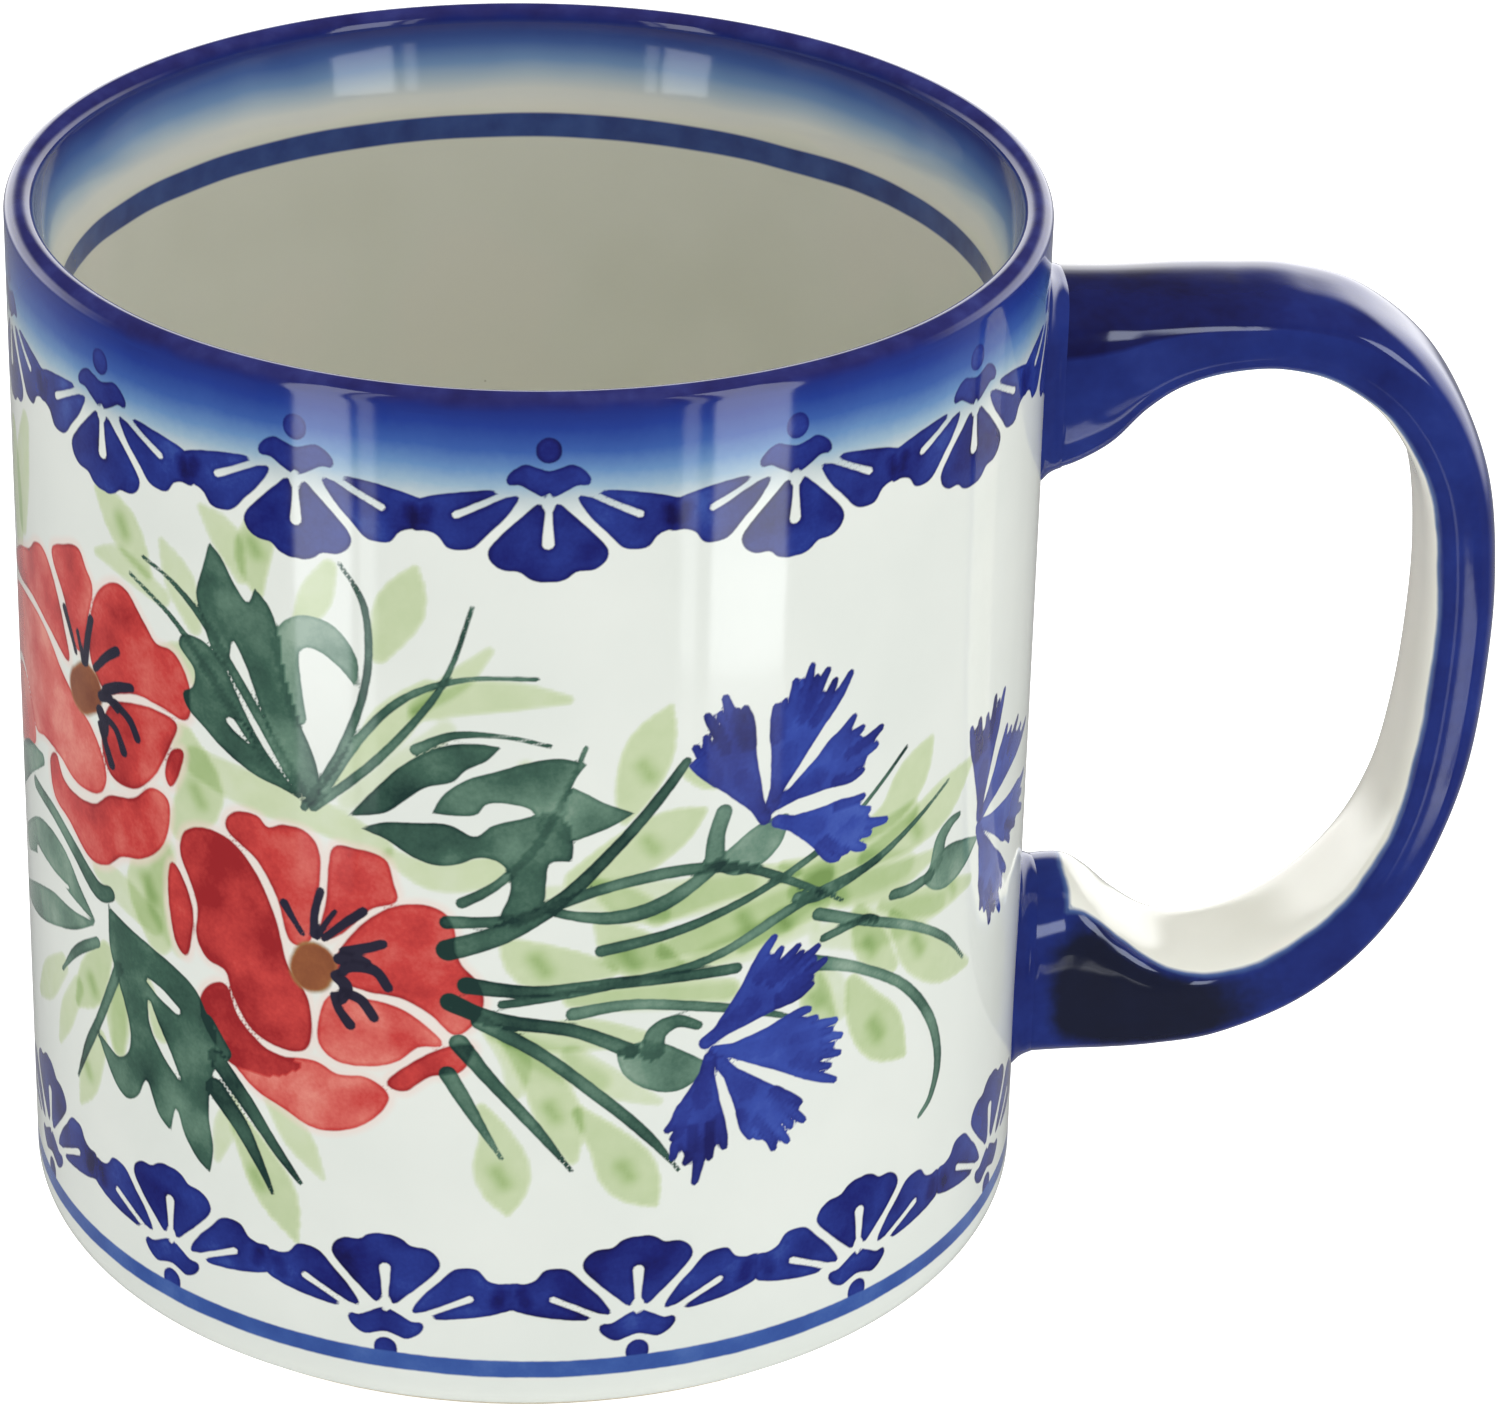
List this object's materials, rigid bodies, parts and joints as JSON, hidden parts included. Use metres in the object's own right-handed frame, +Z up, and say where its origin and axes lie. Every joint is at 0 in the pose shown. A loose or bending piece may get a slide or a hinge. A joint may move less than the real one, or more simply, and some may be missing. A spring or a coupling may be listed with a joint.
{
  "type": "stoneware mug",
  "caption": "Straight-sided glazed stoneware mug with a rounded lip, a strap handle luted on at two roots, and a dry foot ring, painted with borders and poppies.",
  "frame": {"origin": "centre of the foot ring, on the surface that the mug stands on", "axes": "+Z up along the cup's axis, towards the mouth; +X from the axis towards the handle; +Y completes the right-handed set"},
  "size_m": [0.124, 0.085, 0.0915],
  "materials": {
    "bare_stoneware": "fired unglazed stoneware, matte and slightly gritty",
    "handle_clay": "fired stoneware under the glaze",
    "slip_under_cobalt": "clay slip under dark cobalt glaze, gloss",
    "outer_glaze": "clear gloss glaze on off-white clay, with a cobalt fade below the rim and painted decoration",
    "inner_glaze": "clear gloss glaze on off-white clay, with a cobalt fade and one thin ring",
    "rim_cobalt": "dark violet-cobalt gloss glaze",
    "base_glaze": "clear gloss glaze",
    "handle_cobalt": "cobalt gloss glaze outside and on the edges, clear glaze on the finger side"
  },
  "bodies": {
    "root": {"cup_body": "bare_stoneware", "handle": "handle_clay", "upper_slip_joint": "slip_under_cobalt", "lower_slip_joint": "slip_under_cobalt", "outer_glaze": "outer_glaze", "inner_glaze": "inner_glaze", "rim_band": "rim_cobalt", "base_glaze": "base_glaze", "handle_glaze": "handle_cobalt"}
  },
  "joints": []
}
